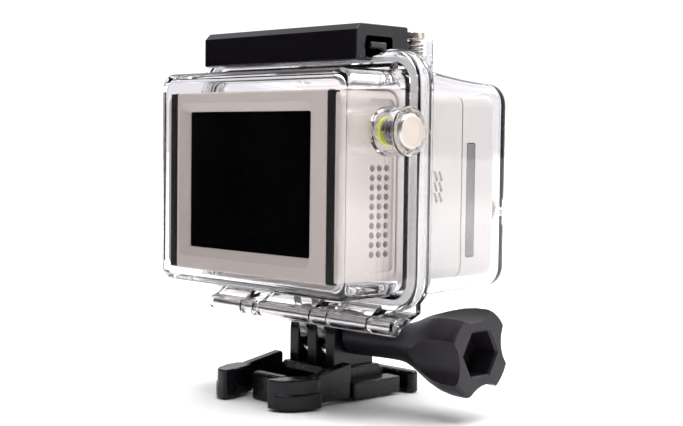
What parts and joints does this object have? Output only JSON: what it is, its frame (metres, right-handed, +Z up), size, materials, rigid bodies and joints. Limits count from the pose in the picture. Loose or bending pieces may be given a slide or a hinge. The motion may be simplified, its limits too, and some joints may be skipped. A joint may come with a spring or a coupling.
{
  "type": "action camera",
  "caption": "Box-shaped action camera with a rear screen module in a clear latched housing, tilting on a pronged quick-release buckle.",
  "frame": {"origin": "on the resting plane under the buckle, in the middle of its width and 6.4 mm behind the thumb-screw axis", "axes": "+Z up; the lens looks along -Y and the screen faces +Y; +X to the left of a person standing behind the camera, the thumb knob at -X"},
  "size_m": [0.085, 0.0638, 0.0864],
  "materials": {
    "clear_plastic": "gloss",
    "camera_beige": "satin",
    "module_beige": "satin",
    "black_gloss": "gloss",
    "charcoal_plastic": "matte",
    "port_trim": "satin",
    "steel": "satin",
    "button_metal": "satin",
    "button_disc": "satin",
    "spring_steel": "satin",
    "black_rubber": "matte",
    "green_rubber": "satin",
    "white_rubber": "satin",
    "screen_black": "gloss",
    "lens_black": "satin",
    "lens_coating": "polished",
    "dark_plastic": "satin",
    "circuit_board": "satin"
  },
  "bodies": {
    "buckle": {"buckle_base": "charcoal_plastic", "captive_nut": "steel"},
    "buckle_arm_left": {"buckle_arm_left": "charcoal_plastic"},
    "buckle_arm_right": {"buckle_arm_right": "charcoal_plastic"},
    "thumb_screw": {"thumb_screw": "steel", "thumb_knob": "charcoal_plastic"},
    "housing": {"front_shell": "clear_plastic", "hinge_pin": "steel", "port_frame": "port_trim", "port_glass": "clear_plastic", "port_screw_1": "steel", "port_screw_2": "steel", "port_screw_3": "steel", "port_screw_4": "steel", "latch_lever_pin": "steel", "shutter_spring": "spring_steel", "shutter_seal": "black_rubber", "mode_spring": "spring_steel", "mode_seal": "black_rubber", "camera_front_cover": "camera_beige", "camera_rear_cover": "camera_beige", "side_slot_cover": "dark_plastic", "status_display": "screen_black", "main_board": "circuit_board", "image_sensor": "steel", "battery": "dark_plastic", "memory_card": "dark_plastic", "lens_barrel": "lens_black", "lens_glass": "lens_coating", "module_case": "module_beige", "module_bezel": "module_beige", "module_strip_left": "black_rubber", "module_strip_right": "black_rubber", "screen_glass": "screen_black", "display_panel": "steel", "module_board": "circuit_board", "module_speaker": "dark_plastic", "module_plug": "dark_plastic"},
    "rear_door": {"rear_door": "clear_plastic", "door_seal": "white_rubber", "side_button_spring": "spring_steel", "side_button_seal": "green_rubber"},
    "latch_lever": {"latch_lever": "black_gloss", "latch_arm_pin": "steel"},
    "latch_arm": {"latch_arm": "black_gloss"},
    "shutter_button": {"shutter_plunger": "button_metal"},
    "mode_button": {"mode_plunger": "button_metal"},
    "side_button": {"side_button_plunger": "button_disc"},
    "camera_shutter_key": {"camera_shutter_key": "dark_plastic"},
    "camera_mode_key": {"camera_mode_key": "dark_plastic"},
    "module_key": {"module_key": "module_beige"}
  },
  "joints": [
    {"name": "buckle_arm_left_squeeze", "type": "hinge", "parent": "buckle", "child": "buckle_arm_left", "pos_m": [0.0119, 0.0003, 0.003], "axis": [0, 0, 1], "range_deg": [0, 3], "stiffness_Nm_per_rad": 0.02, "springref_deg": -1.15},
    {"name": "buckle_arm_right_squeeze", "type": "hinge", "parent": "buckle", "child": "buckle_arm_right", "pos_m": [-0.0119, 0.0003, 0.003], "axis": [0, 0, -1], "range_deg": [0, 3], "stiffness_Nm_per_rad": 0.02, "springref_deg": -1.15},
    {"name": "thumb_screw_turn", "type": "hinge", "parent": "buckle", "child": "thumb_screw", "pos_m": [0, -0.0064, 0.0148], "axis": [1, 0, 0], "continuous": true},
    {"name": "housing_tilt", "type": "hinge", "parent": "buckle", "child": "housing", "pos_m": [0, -0.0064, 0.0148], "axis": [1, 0, 0], "range_deg": [-30, 40]},
    {"name": "door_swing", "type": "hinge", "parent": "housing", "child": "rear_door", "pos_m": [0, 0.008, 0.0204], "axis": [-1, 0, 0], "range_deg": [0, 80]},
    {"name": "latch_lever_lift", "type": "hinge", "parent": "housing", "child": "latch_lever", "pos_m": [0, -0.0065, 0.0849], "axis": [1, 0, 0], "range_deg": [0, 85]},
    {"name": "latch_arm_release", "type": "hinge", "parent": "latch_lever", "child": "latch_arm", "pos_m": [0, -0.0065, 0.0801], "axis": [1, 0, 0], "range_deg": [-71, 0]},
    {"name": "shutter_press", "type": "slide", "parent": "housing", "child": "shutter_button", "axis": [0, 0, -1], "range_m": [0, 0.0013], "stiffness_N_per_m": 100, "springref_m": -0.003, "deforming": ["shutter_spring"]},
    {"name": "mode_press", "type": "slide", "parent": "housing", "child": "mode_button", "axis": [0, 1, 0], "range_m": [0, 0.0011], "stiffness_N_per_m": 100, "springref_m": -0.003, "deforming": ["mode_spring"]},
    {"name": "side_button_press", "type": "slide", "parent": "rear_door", "child": "side_button", "axis": [1, 0, 0], "range_m": [0, 0.0012], "stiffness_N_per_m": 100, "springref_m": -0.003, "deforming": ["side_button_spring"]},
    {"name": "camera_shutter_key_press", "type": "slide", "parent": "housing", "child": "camera_shutter_key", "axis": [0, 0, -1], "range_m": [0, 0.0005]},
    {"name": "camera_mode_key_press", "type": "slide", "parent": "housing", "child": "camera_mode_key", "axis": [0, 1, 0], "range_m": [0, 0.0004]},
    {"name": "module_key_press", "type": "slide", "parent": "housing", "child": "module_key", "axis": [1, 0, 0], "range_m": [0, 0.0005]}
  ],
  "couplings": [
    {"joint": "latch_arm_release", "follows": "latch_lever_lift", "ratio": -0.83},
    {"joint": "camera_shutter_key_press", "follows": "shutter_press", "ratio": 0.35},
    {"joint": "camera_mode_key_press", "follows": "mode_press", "ratio": 0.35},
    {"joint": "module_key_press", "follows": "side_button_press", "ratio": 0.35}
  ]
}
